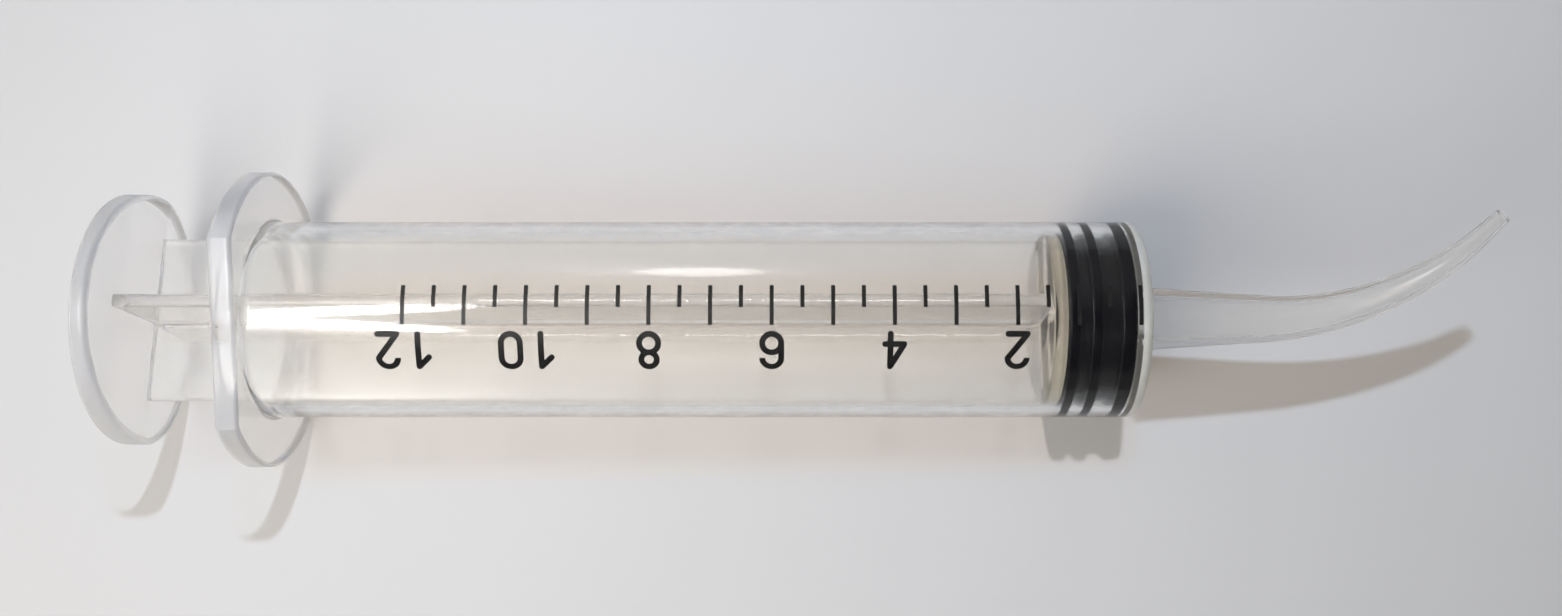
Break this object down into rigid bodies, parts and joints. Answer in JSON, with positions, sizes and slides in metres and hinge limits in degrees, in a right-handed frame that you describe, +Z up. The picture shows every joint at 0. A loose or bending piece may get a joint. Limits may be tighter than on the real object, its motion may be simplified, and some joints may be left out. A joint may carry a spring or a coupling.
{
  "type": "curved tip syringe",
  "caption": "Plastic irrigation syringe with a finger flange, a tapered tip that bends to one side, a rubber stopper and a sliding cross-ribbed plunger with a thumb disc.",
  "frame": {"origin": "on the barrel's axis at the zero line of the scale, which is the inner face of the front wall", "axes": "+X along the barrel towards the tip, +Z up and square to the flats of the finger flange, +Y towards the side to which the tip bends"},
  "size_m": [0.1177, 0.0264, 0.024],
  "materials": {
    "clear_plastic": "clear, slightly milky polypropylene, glossy",
    "milky_plastic": "translucent milky polypropylene, satin gloss",
    "black_rubber": "smooth black rubber with a thin silicone film",
    "ink": "black printed ink, slightly uneven"
  },
  "bodies": {
    "barrel": {"barrel": "clear_plastic", "scale_lines": "ink", "scale_numbers": "ink"},
    "stopper": {"stopper": "black_rubber"},
    "plunger_rod": {"plunger_rod": "milky_plastic"}
  },
  "joints": [
    {"name": "plunger_slide", "type": "slide", "parent": "barrel", "child": "stopper", "axis": [-1, 0, 0], "range_m": [0, 0.066]},
    {"name": "rod_spin", "type": "hinge", "parent": "stopper", "child": "plunger_rod", "pos_m": [-0.0042, 0, 0], "axis": [1, 0, 0], "continuous": true}
  ]
}
